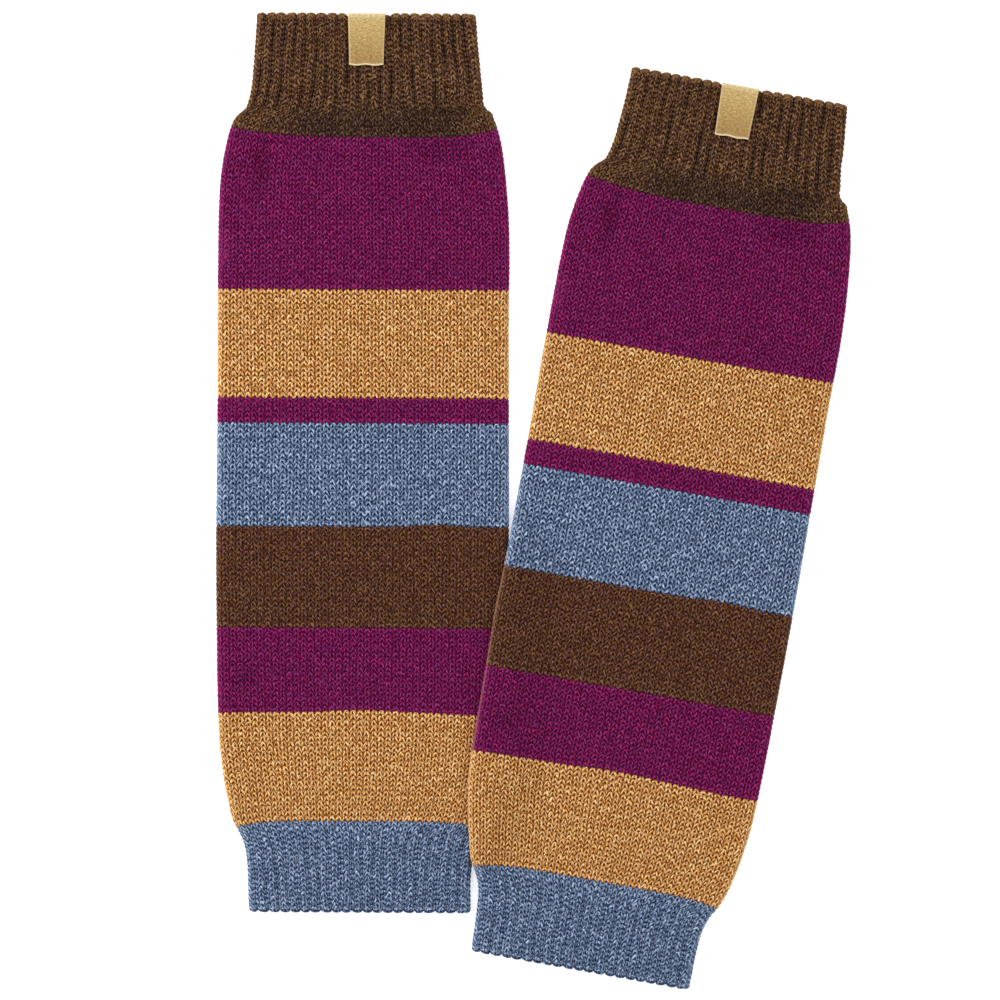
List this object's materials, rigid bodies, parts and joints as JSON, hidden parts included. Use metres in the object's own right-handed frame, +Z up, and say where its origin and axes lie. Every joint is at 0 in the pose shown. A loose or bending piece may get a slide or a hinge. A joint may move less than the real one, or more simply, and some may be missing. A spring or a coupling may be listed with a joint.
{
  "type": "pair of leg warmers",
  "caption": "Pair of knitted leg warmers with ribbed cuffs and broad stripes, laid flat with one lapped over the edge of the other.",
  "frame": {"origin": "middle of the pair's footprint, on the surface that it lies on", "axes": "+Y towards the top cuffs, +X to the right as the pair is seen from above, +Z up"},
  "size_m": [0.2963, 0.4572, 0.012],
  "materials": {
    "brown_yarn": "dark brown heather wool yarn with ochre and plum flecks, ribbed",
    "striped_yarns": "plain knitting in bands of plum, gold, blue and brown wool yarns, soft and matt",
    "blue_yarn": "denim blue heather wool yarn with pale flecks, ribbed",
    "label_tape": "gold woven tape with a soft satin sheen, bare"
  },
  "bodies": {
    "root": {"left_top_cuff": "brown_yarn", "left_leg_tube": "striped_yarns", "left_bottom_cuff": "blue_yarn", "left_label": "label_tape", "right_top_cuff": "brown_yarn", "right_leg_tube": "striped_yarns", "right_bottom_cuff": "blue_yarn", "right_label": "label_tape"}
  },
  "joints": []
}
